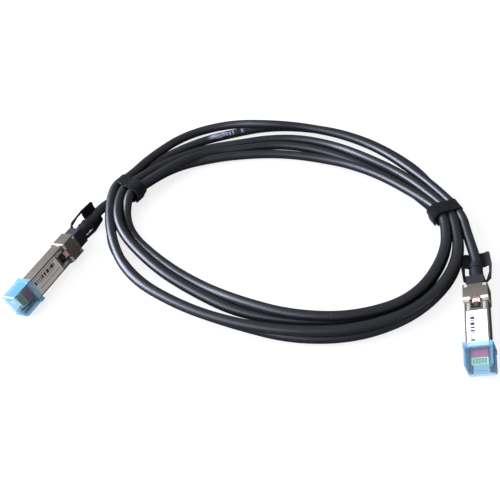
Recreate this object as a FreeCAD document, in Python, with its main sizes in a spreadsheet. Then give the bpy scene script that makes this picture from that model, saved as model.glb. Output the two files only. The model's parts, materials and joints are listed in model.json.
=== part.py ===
import FreeCAD, Part
import math
import os
import Sketcher

V = FreeCAD.Vector
doc = FreeCAD.newDocument("DirectAttachCable")

# Driving sizes in millimetres and degrees. The plug has its own frame: x from the rear of the collar to
# the nose, y to the left, z from the underside of the shell to the label.
sizes = doc.addObject("Spreadsheet::Sheet", "Sizes")
DRIVING = {
    "plug_length": 56.5, "plug_width": 13.5, "plug_height": 8.5, "shell_wall": 1.0, "split_height": 5.4,
    "collar_length": 10.0, "collar_side_step": 0.55, "collar_drop": 0.6, "collar_top": 9.9, "collar_ramp": 2.2,
    "collar_ceiling": 9.3, "notch_length": 0.9, "notch_width": 1.9, "notch_side": 4.6,
    "rear_wall": 1.5, "nose_length": 12.0, "nose_side_height": 7.0, "nose_floor_gap": 6.5,
    "ledge_width": 1.1, "window_start": 10.2, "window_end": 17.0, "window_width": 5.6,
    "mechanism_width": 7.4, "finger_start": 12.6, "finger_length": 6.0, "finger_width": 2.1,
    "finger_margin": 1.1, "finger_depth": 0.4, "finger_sheet": 0.25,
    "rocker_width": 4.6, "rocker_sheet": 0.8, "rocker_level": 7.1, "rocker_front": 16.0,
    "rocker_tail": 4.7, "rocker_foot": 1.0, "foot_drop": 0.9, "pivot_station": 9.6, "pivot_level": 7.3,
    "barrel_radius": 1.1, "pin_radius": 0.6, "pin_length": 7.2, "ear_sheet": 0.9, "ear_length": 2.2,
    "post_width": 2.6, "post_height": 1.2, "post_foot": 2.2, "post_back": 13.0, "post_tip": 0.45,
    "running_gap": 0.05, "pin_fit": 0.02,
    "leaf_sheet": 0.2, "leaf_width": 3.2, "leaf_start": 5.2, "leaf_length": 3.2,
    "bar_side": 3.9, "bar_width": 1.1, "bar_level": 4.6, "bar_height": 0.9,
    "wedge_height": 1.15, "wedge_length": 1.2, "wedge_top": 0.25, "wedge_width": 3.4,
    "slide_gap": 0.2, "tab_travel": 2.5,
    "cable_diameter": 6.5, "cable_level": 3.9, "cable_entry": 1.5, "cable_gap": 0.1,
    "straight_run_a": 13.0, "straight_run_b": 9.0,
    "ferrule_radius": 2.9, "ferrule_bore": 2.3, "ferrule_length": 2.2,
    "wire_radius": 0.55, "wire_pitch": 1.35, "board_side_gap": 0.15, "board_shoulder": 1.0,
    "board_sheet": 1.0, "board_level": 3.95, "board_start": 17.2, "board_setback": 3.0, "board_step_gap": 1.5,
    "block_length": 6.5, "block_width": 8.0, "block_height": 1.5,
    "pad_pitch": 0.8, "pad_width": 0.5, "pad_length": 3.6, "pad_sheet": 0.1, "pad_setback": 0.3,
    "label_start": 19.0, "label_end_gap": 1.0, "label_margin": 0.95, "label_sheet": 0.12,
    "cap_reach": 15.0, "cap_wall": 0.9, "cap_fit": 0.3, "cap_front": 1.4, "cap_rim": 3.0,
    "cap_rim_rise": 0.35, "cap_corner": 2.8, "cap_panel_depth": 0.3, "cap_panel_margin": 1.6,
    "cap_arch_depth": 0.6, "cap_arch_radius": 8.6, "cap_arch_drop": 2.0,
    "boot_length": 20.0, "boot_radius": 3.9, "boot_tip_radius": 3.6,
    "rib_rise": 0.35, "rib_width": 1.6, "rib_pitch": 3.6,
    "tab_block_length": 7.2, "tab_block_wall": 1.1, "tab_block_floor": 1.2, "tab_block_top": 8.7,
    "tab_setback": 0.3, "tab_bore_gap": 0.3, "tab_length": 32.0, "tab_half_width": 9.4,
    "tab_end_half_width": 8.2, "tab_sheet": 1.0, "tab_open_front": 9.4, "tab_open_end": 20.6,
    "tab_open_half_width": 7.4, "tab_trough": 3.0, "tab_corner": 2.5,
    "bundle_width": 20.0, "bundle_height": 12.6, "tie_width": 10.0, "tie_sheet": 1.6, "tie_gap": 0.3,
    "tie_corner": 3.5, "lap_length": 9.0, "lap_sheet": 1.3,
    "left_tie_angle": 174.0, "right_tie_angle": -6.0, "left_tie_radius": 106.0, "right_tie_radius": 114.5,
    "left_tie_turn": -27.0, "right_tie_turn": 27.0,
    "frame_x": -16.557, "frame_y": -57.279,
    "plug_a_x": -139.8, "plug_a_y": -38.8, "plug_a_z": 8.25, "plug_a_yaw": -115.8, "plug_a_roll": -67.0,
    "plug_a_dip": 0.0,
    "plug_b_x": 121.8, "plug_b_y": -78.2, "plug_b_z": 5.33, "plug_b_yaw": -101.3, "plug_b_roll": 28.5,
    "plug_b_dip": 0.0,
}

# Sizes that follow from the driving ones.
DERIVED = {
    "collar_width": "plug_width + 2 * collar_side_step",
    "finger_side": "plug_width / 2 - finger_margin - finger_width",
    "board_width": "plug_width - 2 * shell_wall - 2 * board_side_gap",
    "board_nose_width": "board_width - 2 * board_shoulder",
    "board_end": "plug_length - board_setback",
    "board_step": "plug_length - nose_length - board_step_gap",
    "label_width": "plug_width - 2 * label_margin",
    "label_length": "plug_length - nose_length - label_end_gap - label_start",
    "cap_start": "plug_length - cap_reach",
    "tab_block_width": "2 * ( boot_radius + tab_bore_gap + tab_block_wall )",
    "tab_knee": "tab_half_width / 2",
    "rib_start": "tab_open_front + tab_travel + slide_gap",
}

for row, (alias, value) in enumerate(DRIVING.items(), start=1):
    sizes.set("A%d" % row, alias)
    sizes.set("B%d" % row, str(value))
    sizes.setAlias("B%d" % row, alias)
doc.recompute()


def size(alias):
    return float(sizes.get(alias))


def spelled(expression):
    """An expression with each driving size as its sheet cell and each derived size written out."""
    words = []
    for token in expression.replace("(", " ( ").replace(")", " ) ").split():
        if token in DERIVED:
            words.append("( %s )" % spelled(DERIVED[token]))
        else:
            words.append("Sizes." + token if token in DRIVING else token)
    return " ".join(words)


def bind(obj, prop, expression):
    obj.setExpression(prop, spelled(expression))


def sketch(body, name, plane, points, offset=None):
    """A closed polygon on an origin plane of the body; every point is held by two bound distances."""
    made = body.newObject("Sketcher::SketchObject", name)
    made.AttachmentSupport = [(next(f for f in body.Origin.OriginFeatures if f.Role == plane), "")]
    made.MapMode = "FlatFace"
    count = len(points)
    around = [V(math.cos(2 * math.pi * k / count), math.sin(2 * math.pi * k / count), 0) for k in range(count)]
    for k in range(count):
        made.addGeometry(Part.LineSegment(around[k], around[(k + 1) % count]), False)
    for k in range(count):
        made.addConstraint(Sketcher.Constraint("Coincident", k, 2, (k + 1) % count, 1))
    for k, (across, up) in enumerate(points):
        for kind, start, expression in (("DistanceX", around[k].x, across), ("DistanceY", around[k].y, up)):
            index = made.addConstraint(Sketcher.Constraint(kind, -1, 1, k, 1, start))
            bind(made, "Constraints[%d]" % index, expression)
    if offset:
        bind(made, "AttachmentOffset.Base.z", offset)
    return made


def rectangle(x0, x1, y0, y1):
    return [(x0, y0), (x1, y0), (x1, y1), (x0, y1)]


def circle_sketch(body, name, plane, centre, radius, offset=None):
    made = body.newObject("Sketcher::SketchObject", name)
    made.AttachmentSupport = [(next(f for f in body.Origin.OriginFeatures if f.Role == plane), "")]
    made.MapMode = "FlatFace"
    made.addGeometry(Part.Circle(V(1, 1, 0), V(0, 0, 1), 1), False)
    for kind, expression in (("DistanceX", centre[0]), ("DistanceY", centre[1])):
        index = made.addConstraint(Sketcher.Constraint(kind, -1, 1, 0, 3, 1.0))
        bind(made, "Constraints[%d]" % index, expression)
    index = made.addConstraint(Sketcher.Constraint("Radius", 0, 1.0))
    bind(made, "Constraints[%d]" % index, radius)
    if offset:
        bind(made, "AttachmentOffset.Base.z", offset)
    return made


def pad(body, name, profile, length, symmetric=False):
    made = body.newObject("PartDesign::Pad", name)
    made.Profile = profile
    made.SideType = "Symmetric" if symmetric else "One side"
    bind(made, "Length", length)
    doc.recompute()
    return made


def pocket(body, name, profile, length, symmetric=False, up=False):
    before = body.Shape.Volume
    made = body.newObject("PartDesign::Pocket", name)
    made.Profile = profile
    made.SideType = "Symmetric" if symmetric else "One side"
    made.Reversed = up
    bind(made, "Length", length)
    doc.recompute()
    if not made.Shape.Volume < before - 1e-6:
        raise RuntimeError("%s cuts nothing" % name)
    return made


def rounded(body, name, radius, choose):
    """Fillet those edges of the body's last shape that the choice picks."""
    edges = ["Edge%d" % (k + 1) for k, edge in enumerate(body.Shape.Edges) if choose(edge)]
    base = body.Tip
    made = body.newObject("PartDesign::Fillet", name)
    made.Base = (base, edges)
    bind(made, "Radius", radius)
    doc.recompute()
    return made


def runs_along(edge, axis):
    """True for a straight edge along the given axis."""
    if edge.Curve.TypeId != "Part::GeomLine":
        return False
    return abs(abs(edge.tangentAt(edge.FirstParameter).dot(axis)) - 1) < 1e-6


def block(name, x0, x1, y0, y1, z0, z1):
    made = doc.addObject("Part::Box", name)
    for prop, low, high, place in (("Length", x0, x1, "x"), ("Width", y0, y1, "y"), ("Height", z0, z1, "z")):
        bind(made, prop, "( %s ) - ( %s )" % (high, low))
        bind(made, "Placement.Base." + place, low)
    return made


def rod(name, radius, start, length, level, side="0"):
    """A cylinder along x, from the start station forwards."""
    made = doc.addObject("Part::Cylinder", name)
    made.Placement = FreeCAD.Placement(V(0, 0, 0), FreeCAD.Rotation(V(0, 1, 0), 90))
    bind(made, "Radius", radius)
    bind(made, "Height", length)
    bind(made, "Placement.Base.x", start)
    bind(made, "Placement.Base.y", side)
    bind(made, "Placement.Base.z", level)
    return made


def cut(name, base, *tools):
    made = doc.addObject("Part::Cut", name)
    made.Base = base
    made.Tool = tools[0] if len(tools) == 1 else join(name + "_tools", *tools)
    return made


def join(name, *pieces):
    made = doc.addObject("Part::MultiFuse", name)
    made.Shapes = list(pieces)
    made.Refine = False
    return made


def group(name, *pieces):
    """Separate solids kept together as one object, so that they can be placed as one."""
    made = doc.addObject("Part::Compound", name)
    made.Links = list(pieces)
    return made


def plain(name, shape):
    made = doc.addObject("Part::Feature", name)
    made.Shape = shape
    return made


PIECES = {}


def keep(node, piece, place=None):
    """Name a finished piece for its file and set it in the frame of the whole cable."""
    piece.Label = node
    if place is not None:
        piece.Placement = place
    PIECES[node] = piece


def shell_lower(tag):
    """Die-cast tray: collar half, floor, side walls, board ledges and the open nose."""
    body = doc.addObject("PartDesign::Body", "ShellLower" + tag)
    nose = "plug_length - nose_length"
    side = [("0", "0"), ("plug_length", "0"),
            ("plug_length", "nose_side_height"), (nose, "nose_side_height"), (nose, "split_height"),
            ("0", "split_height")]
    pad(body, "Tray" + tag, sketch(body, "TraySide" + tag, "XZ_Plane", side), "plug_width", symmetric=True)
    collar = [("0", "0 - collar_drop"), ("collar_length", "0 - collar_drop"),
              ("collar_length + collar_ramp", "0"), ("collar_length + collar_ramp", "shell_wall"),
              ("collar_length", "split_height"), ("0", "split_height")]
    pad(body, "TrayCollar" + tag, sketch(body, "TrayCollarSide" + tag, "XZ_Plane", collar), "collar_width",
        symmetric=True)
    inner = "( plug_width / 2 - shell_wall )"
    low = "( plug_width / 2 - shell_wall - ledge_width )"
    above = rectangle("rear_wall", "plug_length", "0 - " + inner, inner)
    pocket(body, "TrayRoom" + tag, sketch(body, "TrayRoomPlan" + tag, "XY_Plane", above, "board_level"),
           "plug_height", up=True)
    below = rectangle("rear_wall", "plug_length", "0 - " + low, low)
    pocket(body, "TrayWell" + tag, sketch(body, "TrayWellPlan" + tag, "XY_Plane", below, "shell_wall"),
           "plug_height", up=True)
    mouth = rectangle("plug_length - nose_floor_gap", "plug_length + shell_wall", "0 - " + low, low)
    pocket(body, "TrayMouth" + tag, sketch(body, "TrayMouthPlan" + tag, "XY_Plane", mouth),
           "shell_wall", up=True)
    bore = circle_sketch(body, "TrayBoreCircle" + tag, "YZ_Plane", ("0", "cable_level"),
                         "cable_diameter / 2 + cable_gap")
    pocket(body, "TrayBore" + tag, bore, "rear_wall", up=True)
    for mark, sign in (("L", ""), ("R", "0 - ")):
        slot = rectangle("bar_side - slide_gap", "bar_side + bar_width + slide_gap",
                         "bar_level - slide_gap", "split_height + shell_wall")
        slot = [(sign + "( %s )" % across, up) for across, up in slot]
        pocket(body, "TraySlot" + mark + tag, sketch(body, "TraySlotFace" + mark + tag, "YZ_Plane", slot),
               "rear_wall", up=True)
    return body


def shell_upper(tag):
    """Cover with the raised collar half, the latch window and the recesses of the ground fingers."""
    body = doc.addObject("PartDesign::Body", "ShellUpper" + tag)
    front = "( plug_length - nose_length - slide_gap )"
    side = [("0", "split_height"), (front, "split_height"), (front, "plug_height"),
            ("0", "plug_height")]
    pad(body, "Cover" + tag, sketch(body, "CoverSide" + tag, "XZ_Plane", side), "plug_width", symmetric=True)
    collar = [("0", "split_height"), ("collar_length", "split_height"),
              ("collar_length + collar_ramp", "plug_height - shell_wall"),
              ("collar_length + collar_ramp", "plug_height"), ("collar_length", "collar_top"),
              ("0", "collar_top")]
    pad(body, "CoverCollar" + tag, sketch(body, "CoverCollarSide" + tag, "XZ_Plane", collar), "collar_width",
        symmetric=True)
    inner = "( plug_width / 2 - shell_wall )"
    room = rectangle("rear_wall", "plug_length", "0 - " + inner, inner)
    pocket(body, "CoverRoom" + tag, sketch(body, "CoverRoomPlan" + tag, "XY_Plane", room,
                                           "plug_height - shell_wall"), "plug_height")
    works = rectangle("rear_wall + shell_wall", "collar_length + collar_ramp",
                      "0 - mechanism_width / 2", "mechanism_width / 2")
    pocket(body, "CoverWorks" + tag, sketch(body, "CoverWorksPlan" + tag, "XY_Plane", works,
                                            "collar_ceiling"), "plug_height")
    window = rectangle("window_start", "window_end", "0 - window_width / 2", "window_width / 2")
    pocket(body, "CoverWindow" + tag, sketch(body, "CoverWindowPlan" + tag, "XY_Plane", window,
                                             "collar_top + shell_wall"), "plug_height")
    bore = circle_sketch(body, "CoverBoreCircle" + tag, "YZ_Plane", ("0", "cable_level"),
                         "cable_diameter / 2 + cable_gap")
    pocket(body, "CoverBore" + tag, bore, "rear_wall", up=True)
    for mark, sign in (("L", ""), ("R", "0 - ")):
        slot = rectangle("bar_side - slide_gap", "bar_side + bar_width + slide_gap",
                         "split_height - shell_wall", "bar_level + bar_height + slide_gap")
        slot = [(sign + "( %s )" % across, up) for across, up in slot]
        pocket(body, "CoverSlot" + mark + tag, sketch(body, "CoverSlotFace" + mark + tag, "YZ_Plane", slot),
               "rear_wall", up=True)
        finger = rectangle("finger_start", "finger_start + finger_length", "finger_side",
                           "finger_side + finger_width")
        finger = [(along, sign + "( %s )" % across) for along, across in finger]
        pocket(body, "CoverFinger" + mark + tag,
               sketch(body, "CoverFingerPlan" + mark + tag, "XY_Plane", finger, "plug_height"), "finger_depth")
        notch = rectangle("0", "notch_length", "notch_side", "notch_side + notch_width")
        notch = [(along, sign + "( %s )" % across) for along, across in notch]
        pocket(body, "CoverNotch" + mark + tag,
               sketch(body, "CoverNotchPlan" + mark + tag, "XY_Plane", notch, "collar_top"), "finger_depth")
        ear = rectangle("pivot_station - ear_length / 2", "pivot_station + ear_length / 2",
                        "mechanism_width / 2 - ear_sheet", "mechanism_width / 2")
        ear = [(along, sign + "( %s )" % across) for along, across in ear]
        pad(body, "CoverEar" + mark + tag,
            sketch(body, "CoverEarPlan" + mark + tag, "XY_Plane", ear, "pivot_level - barrel_radius"),
            "collar_ceiling - pivot_level + barrel_radius")
    hole = circle_sketch(body, "CoverPinCircle" + tag, "XZ_Plane", ("pivot_station", "pivot_level"),
                         "pin_radius + pin_fit")
    pocket(body, "CoverPin" + tag, hole, "pin_length + cable_gap", symmetric=True)
    return body


def latch_rocker(tag):
    """Sheet rocker: tail foot, barrel on the pin, and the wedge post that locks into a cage."""
    body = doc.addObject("PartDesign::Body", "Rocker" + tag)
    top = "rocker_level + rocker_sheet"
    side = [("rocker_tail", "rocker_level - foot_drop"), ("rocker_tail + rocker_foot", "rocker_level - foot_drop"),
            ("rocker_tail + rocker_foot", "rocker_level"), ("rocker_front", "rocker_level"),
            ("rocker_front", top), ("rocker_tail", top)]
    pad(body, "RockerSheet" + tag, sketch(body, "RockerSide" + tag, "XZ_Plane", side), "rocker_width",
        symmetric=True)
    barrel = circle_sketch(body, "RockerBarrelCircle" + tag, "XZ_Plane", ("pivot_station", "pivot_level"),
                           "barrel_radius")
    pad(body, "RockerBarrel" + tag, barrel, "rocker_width", symmetric=True)
    post = [("post_back", "rocker_level"), ("post_back + post_foot", "rocker_level"),
            ("post_back + post_foot", top), ("post_back + post_tip", top + " + post_height"),
            ("post_back", top + " + post_height")]
    pad(body, "RockerPost" + tag, sketch(body, "RockerPostSide" + tag, "XZ_Plane", post), "post_width",
        symmetric=True)
    hole = circle_sketch(body, "RockerHoleCircle" + tag, "XZ_Plane", ("pivot_station", "pivot_level"),
                         "pin_radius + running_gap")
    pocket(body, "RockerHole" + tag, hole, "rocker_width + shell_wall", symmetric=True)
    return body


def pivot_pin(tag):
    pin = doc.addObject("Part::Cylinder", "Pin" + tag)
    pin.Placement = FreeCAD.Placement(V(0, 0, 0), FreeCAD.Rotation(V(1, 0, 0), 90))
    bind(pin, "Radius", "pin_radius")
    bind(pin, "Height", "pin_length")
    bind(pin, "Placement.Base.x", "pivot_station")
    bind(pin, "Placement.Base.y", "pin_length / 2")
    bind(pin, "Placement.Base.z", "pivot_level")
    return group("PivotPin" + tag, pin)


def latch_leaf(tag):
    """Flat return spring against the collar's ceiling, with its tip bent down over the rocker's tail."""
    half = "leaf_width / 2"
    strip = block("LeafStrip" + tag, "leaf_start", "leaf_start + leaf_length", "0 - " + half, half,
                  "collar_ceiling - leaf_sheet", "collar_ceiling")
    tip = block("LeafTip" + tag, "leaf_start", "leaf_start + leaf_sheet", "0 - " + half, half,
                "collar_ceiling - 2 * leaf_sheet", "collar_ceiling")
    return join("Leaf" + tag, strip, tip)


def slider(tag):
    """Two side bars past the cable, a cross bar ahead of the ferrule and the wedge that lifts the rocker."""
    body = doc.addObject("PartDesign::Body", "Slider" + tag)
    outer = "( bar_side + bar_width )"
    rear = "( 0 - tab_setback - tab_block_length + shell_wall )"
    front = "( rocker_tail + rocker_foot + tab_travel - slide_gap )"
    inner = "( cable_entry + ferrule_length + tab_travel + slide_gap )"
    plan = [(rear, "0 - " + outer), (front, "0 - " + outer), (front, outer), (rear, outer),
            (rear, "bar_side"), (inner, "bar_side"), (inner, "0 - bar_side"), (rear, "0 - bar_side")]
    pad(body, "SliderBars" + tag, sketch(body, "SliderPlan" + tag, "XY_Plane", plan, "bar_level"), "bar_height")
    top = "( bar_level + bar_height )"
    wedge = [(front, top + " - bar_height / 2"), (front, top + " + wedge_height"),
             (front + " - wedge_top", top + " + wedge_height"), (front + " - wedge_top - wedge_length", top),
             (front + " - wedge_top - wedge_length", top + " - bar_height / 2")]
    pad(body, "SliderWedge" + tag, sketch(body, "SliderWedgeSide" + tag, "XZ_Plane", wedge), "wedge_width",
        symmetric=True)
    return body


def pull_tab(tag):
    """Moulded tab: a block round the boot behind the collar, two side arms and a trough-shaped plate."""
    body = doc.addObject("PartDesign::Body", "TabPlate" + tag)
    low = "( 0 - tab_block_floor )"
    knee = "tab_knee"
    wing = "( tab_half_width + tab_sheet )"
    lift = "( tab_trough - tab_block_floor )"
    section = [("0 - " + wing, lift), ("0 - " + knee, low), (knee, low), (wing, lift),
               (wing, lift + " + tab_sheet"), (knee, low + " + tab_sheet"), ("0 - " + knee, low + " + tab_sheet"),
               ("0 - " + wing, lift + " + tab_sheet")]
    pad(body, "TabTrough" + tag, sketch(body, "TabSection" + tag, "YZ_Plane", section, "0 - tab_length"),
        "tab_length - tab_setback")
    plan = doc.addObject("PartDesign::Body", "TabPlan" + tag)
    neck = "( tab_block_width / 2 )"
    front = "( 0 - tab_setback )"
    outline = [(front, "0 - " + neck), (front, neck), ("0 - tab_block_length - tab_setback", neck),
               ("0 - tab_open_front", "tab_half_width - tab_sheet"), ("0 - tab_open_end", "tab_half_width"),
               ("0 - tab_length", "tab_end_half_width"), ("0 - tab_length", "0 - tab_end_half_width"),
               ("0 - tab_open_end", "0 - tab_half_width"),
               ("0 - tab_open_front", "0 - ( tab_half_width - tab_sheet )"),
               ("0 - tab_block_length - tab_setback", "0 - " + neck)]
    pad(plan, "TabOutline" + tag, sketch(plan, "TabOutlinePlan" + tag, "XY_Plane", outline), "4 * plug_height",
        symmetric=True)
    rounded(plan, "TabEnd" + tag, "tab_corner", lambda edge: runs_along(edge, V(0, 0, 1)) and
            edge.CenterOfMass.x < -size("tab_length") + 0.1)
    side = "tab_open_half_width"
    gap = [("0 - tab_open_front", "0 - tab_block_width / 2"), ("0 - tab_open_front", "tab_block_width / 2"),
           ("0 - ( tab_open_front + tab_open_end ) / 2", side), ("0 - tab_open_end", side),
           ("0 - tab_open_end", "0 - " + side), ("0 - ( tab_open_front + tab_open_end ) / 2", "0 - " + side)]
    pocket(plan, "TabWindow" + tag, sketch(plan, "TabWindowPlan" + tag, "XY_Plane", gap), "8 * plug_height",
           symmetric=True)
    plate = doc.addObject("Part::MultiCommon", "TabShape" + tag)
    plate.Shapes = [body, plan]
    head = block("TabHead" + tag, "0 - tab_setback - tab_block_length", "0 - tab_setback",
                 "0 - tab_block_width / 2", "tab_block_width / 2", low, "tab_block_top")
    whole = join("TabWhole" + tag, plate, head)
    bore = rod("TabBore" + tag, "boot_radius + tab_bore_gap", "0 - tab_open_front", "tab_open_front",
               "cable_level")
    seats = []
    for mark, y0, y1 in (("L", "bar_side", "bar_side + bar_width"),
                         ("R", "0 - bar_side - bar_width", "0 - bar_side")):
        seats.append(block("TabSeat" + mark + tag, "0 - tab_setback - tab_block_length + shell_wall",
                           "shell_wall", y0, y1, "bar_level", "bar_level + bar_height"))
    return cut("PullTab" + tag, whole, bore, *seats)


RIBS = 2


def boot(tag):
    """Strain relief: a tapered sleeve with ribs, turned about the cable."""
    body = doc.addObject("PartDesign::Body", "Boot" + tag)
    inner = "( cable_diameter / 2 + cable_gap )"
    points = [("0 - boot_length", inner), ("0", inner), ("0", "boot_radius"),
              ("0 - rib_start", "boot_radius")]
    for k in range(RIBS):
        start = "( rib_start + %d * rib_pitch )" % k
        points += [("0 - %s" % start, "boot_radius + rib_rise"),
                   ("0 - ( %s + rib_width )" % start, "boot_radius + rib_rise"),
                   ("0 - ( %s + rib_width )" % start, "boot_tip_radius"),
                   ("0 - ( %s + rib_pitch )" % start, "boot_tip_radius")]
    points = points[:-1] + [("0 - boot_length", "boot_tip_radius")]
    profile = sketch(body, "BootSide" + tag, "XZ_Plane", points)
    turned = body.newObject("PartDesign::Revolution", "BootTurned" + tag)
    turned.Profile = profile
    turned.ReferenceAxis = (next(f for f in body.Origin.OriginFeatures if f.Role == "X_Axis"), [""])
    turned.Angle = 360
    doc.recompute()
    return body


def dust_cap(tag):
    """Soft cap over the nose: rim band, inset panel on the label side and a thumb hollow at the front."""
    body = doc.addObject("PartDesign::Body", "Cap" + tag)
    half = "( plug_width / 2 + cap_fit + cap_wall )"
    low = "( 0 - cap_fit - cap_wall )"
    front = "( plug_length + cap_fit + cap_front )"
    tall = "( plug_height + 2 * cap_fit + 2 * cap_wall )"
    pad(body, "CapOuter" + tag, sketch(body, "CapPlan" + tag, "XY_Plane",
                                       rectangle("cap_start", front, "0 - " + half, half), low), tall)
    rounded(body, "CapCorners" + tag, "cap_corner", lambda edge: runs_along(edge, V(0, 0, 1)) and
            edge.CenterOfMass.x > size("plug_length"))
    rim = "( %s + cap_rim_rise )" % half
    band = rectangle("0 - " + rim, rim, low + " - cap_rim_rise", "plug_height + cap_fit + cap_wall + cap_rim_rise")
    pad(body, "CapRim" + tag, sketch(body, "CapRimFace" + tag, "YZ_Plane", band, "cap_start"), "cap_rim")
    panel = rectangle("cap_start + cap_rim + cap_panel_margin / 2", front + " - cap_panel_margin",
                      "0 - ( %s - cap_panel_margin )" % half, half + " - cap_panel_margin")
    pocket(body, "CapPanel" + tag, sketch(body, "CapPanelPlan" + tag, "XY_Plane", panel,
                                          "plug_height + cap_fit + cap_wall"), "cap_panel_depth")
    arch = circle_sketch(body, "CapArchCircle" + tag, "YZ_Plane", ("0", low + " - cap_arch_drop"),
                         "cap_arch_radius", front)
    pocket(body, "CapArch" + tag, arch, "cap_arch_depth")
    hollow = "( plug_width / 2 + cap_fit )"
    room = rectangle("0 - " + hollow, hollow, "0 - cap_fit", "plug_height + cap_fit")
    pocket(body, "CapRoom" + tag, sketch(body, "CapRoomFace" + tag, "YZ_Plane", room, "cap_start"),
           "plug_length + cap_fit - cap_start", up=True)
    return body


def board(tag):
    """Paddle board: full width over the ledges, narrow at the nose."""
    body = doc.addObject("PartDesign::Body", "Board" + tag)
    wide, slim = "( board_width / 2 )", "( board_nose_width / 2 )"
    plan = [("board_start", "0 - " + wide), ("board_step", "0 - " + wide), ("board_step", "0 - " + slim),
            ("board_end", "0 - " + slim), ("board_end", slim), ("board_step", slim), ("board_step", wide),
            ("board_start", wide)]
    pad(body, "BoardSheet" + tag, sketch(body, "BoardPlan" + tag, "XY_Plane", plan, "board_level"), "board_sheet")
    return body


def edge_contacts(tag):
    """Ten gold pads on each face of the board's nose, as one group."""
    pads = []
    end = "( board_end - pad_setback )"
    for k in range(10):
        middle = "( %g * pad_pitch )" % (k - 4.5)
        for mark, base in (("T", "board_level + board_sheet"), ("U", "board_level - pad_sheet")):
            pads.append(block("Pad%s%d%s" % (mark, k, tag), end + " - pad_length", end,
                              middle + " - pad_width / 2", middle + " + pad_width / 2", base,
                              base + " + pad_sheet"))
    return group("Contacts" + tag, *pads)


def wire_pairs(tag):
    """Four insulated conductors from the ferrule to the solder block."""
    wires = []
    start = "( cable_entry + ferrule_length )"
    for k in range(4):
        wires.append(rod("Wire%d%s" % (k, tag), "wire_radius", start, "board_start - " + start,
                         "bar_level - slide_gap - wire_radius", "%g * wire_pitch" % (k - 1.5)))
    return group("Wires" + tag, *wires)


def solder_block(tag):
    """Potting over the wire ends: it laps the end of the board on both faces."""
    half = "block_width / 2"
    whole = block("BlockBody" + tag, "board_start", "board_start + block_length", "0 - " + half, half,
                  "board_level - block_height", "board_level + board_sheet + block_height")
    room = block("BlockRoom" + tag, "board_start", "board_start + block_length", "0 - board_width", "board_width",
                 "board_level", "board_level + board_sheet")
    return cut("Block" + tag, whole, room)


def ground_fingers(tag):
    """Spring contacts in the cover's two recesses."""
    pieces = []
    floor = "( plug_height - finger_depth )"
    for mark, y0, y1 in (("L", "finger_side", "finger_side + finger_width"),
                         ("R", "0 - finger_side - finger_width", "0 - finger_side")):
        pieces.append(block("Finger" + mark + tag, "finger_start + slide_gap",
                            "finger_start + finger_length - slide_gap", y0 + " + slide_gap", y1 + " - slide_gap",
                            floor, floor + " + finger_sheet"))
    return group("Fingers" + tag, *pieces)


def ferrule(tag):
    outer = rod("FerruleOuter" + tag, "ferrule_radius", "cable_entry", "ferrule_length", "cable_level")
    inner = rod("FerruleInner" + tag, "ferrule_bore", "cable_entry", "ferrule_length", "cable_level")
    return cut("Ferrule" + tag, outer, inner)


def label(tag):
    half = "label_width / 2"
    sheet = block("LabelSheet" + tag, "label_start", "label_start + label_length", "0 - " + half, half,
                  "plug_height", "plug_height + label_sheet")
    return group("Label" + tag, sheet)


def plug_place(tag):
    """Where a plug lies: turned to its heading, dipped at the nose and rolled on its side."""
    key = "plug_" + tag.lower() + "_"
    turn = FreeCAD.Rotation(V(0, 0, 1), size(key + "yaw")) * FreeCAD.Rotation(V(0, 1, 0), size(key + "dip"))
    turn = turn * FreeCAD.Rotation(V(1, 0, 0), size(key + "roll"))
    spot = V(size(key + "x") - size("frame_x"), size(key + "y") - size("frame_y"), size(key + "z"))
    return FreeCAD.Placement(spot, turn)


def plug(tag):
    place = plug_place(tag)
    makers = (("shell_lower", shell_lower), ("shell_upper", shell_upper), ("latch_rocker", latch_rocker),
              ("pivot_pin", pivot_pin), ("latch_leaf", latch_leaf), ("slider", slider),
              ("pull_tab", pull_tab), ("board", board), ("edge_contacts", edge_contacts),
              ("wire_pairs", wire_pairs), ("solder_block", solder_block),
              ("ground_fingers", ground_fingers), ("ferrule", ferrule), ("label", label),
              ("dust_cap", dust_cap))
    for node, maker in makers:
        keep(node + "_" + tag.lower(), maker(tag), place)
    lift = FreeCAD.Placement(V(0, 0, size("cable_level")), FreeCAD.Rotation())
    keep("boot_" + tag.lower(), boot(tag), place.multiply(lift))


# The coil's outline as distances from its middle at every 20 degrees, starting at the right tie.
OUTER_REACH = [124.5, 118.5, 105.4, 98.2, 93.7, 95.3, 99.4, 105.2, 110.7, 116.0, 120.0, 117.1, 110.6, 108.1,
               112.9, 120.3, 124.6, 123.5]
INNER_REACH = [104.5, 84.0, 66.0, 56.1, 49.7, 50.7, 54.5, 66.2, 80.6, 96.0, 98.4, 89.2, 82.9, 83.3,
               88.5, 97.7, 106.9, 110.2]
SIDES_PER_STATION = 3


def coil_outline(reach):
    first, step = size("right_tie_angle"), 360.0 / len(reach)
    points = []
    for k, radius in enumerate(reach):
        angle = math.radians(first + k * step)
        points.append(V(radius * math.cos(angle) - size("frame_x"), radius * math.sin(angle) - size("frame_y"), 0))
    curve = Part.BSplineCurve()
    curve.interpolate(points, PeriodicFlag=True)
    around = curve.discretize(Number=SIDES_PER_STATION * len(reach) + 1)
    return Part.makePolygon(around[:-1] + around[:1])


def tie_frame(side):
    """The frame of a tie: x along the bundle, y across it, z up, at the middle of the bundle's foot."""
    angle, radius = math.radians(size(side + "_tie_angle")), size(side + "_tie_radius")
    spot = V(radius * math.cos(angle) - size("frame_x"), radius * math.sin(angle) - size("frame_y"), 0)
    return FreeCAD.Placement(spot, FreeCAD.Rotation(V(0, 0, 1), size(side + "_tie_angle") + size(side + "_tie_turn") + 90))


def band(length, width, low, high, corner):
    """A bar along x with rounded long edges, centred on x and y."""
    bar = Part.makeBox(length, width, high - low, V(-length / 2, -width / 2, low))
    return bar.makeFillet(corner, [edge for edge in bar.Edges if runs_along(edge, V(1, 0, 0))])


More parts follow.
